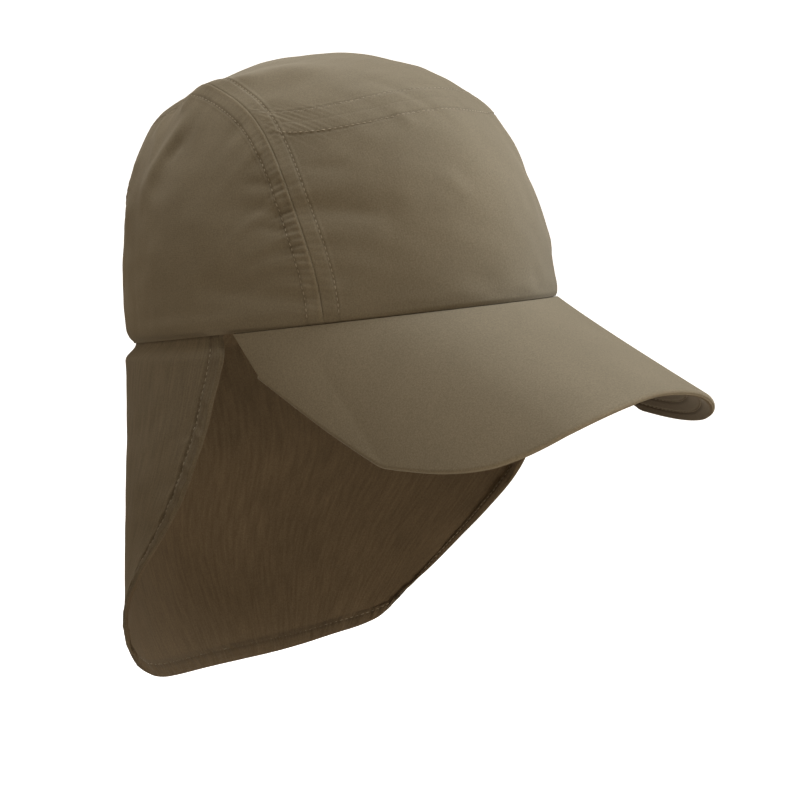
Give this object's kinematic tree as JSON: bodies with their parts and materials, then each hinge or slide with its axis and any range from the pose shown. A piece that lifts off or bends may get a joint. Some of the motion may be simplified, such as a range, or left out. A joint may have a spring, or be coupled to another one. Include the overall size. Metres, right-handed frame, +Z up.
{
  "type": "legionnaire cap",
  "caption": "Cloth legionnaire cap with a sewn panelled crown, a long curved peak and a neck flap that hangs from the rim round the back and sides.",
  "frame": {"origin": "middle of the cap's rim, where a head carries it", "axes": "+Z up, -Y to the front over the peak, +X to the wearer's left; the rim is tipped 10 degrees up at the front, as worn"},
  "size_m": [0.194, 0.2822, 0.2692],
  "materials": {
    "crown_cloth": "matte woven cloth, olive brown",
    "peak_cloth": "matte woven cloth over a stiffener, olive brown",
    "flap_cloth": "matte thin woven cloth, olive brown"
  },
  "bodies": {
    "root": {"front_panel": "crown_cloth", "top_panel": "crown_cloth", "side_panel_right": "crown_cloth", "side_panel_left": "crown_cloth", "peak": "peak_cloth", "neck_flap": "flap_cloth"}
  },
  "joints": []
}
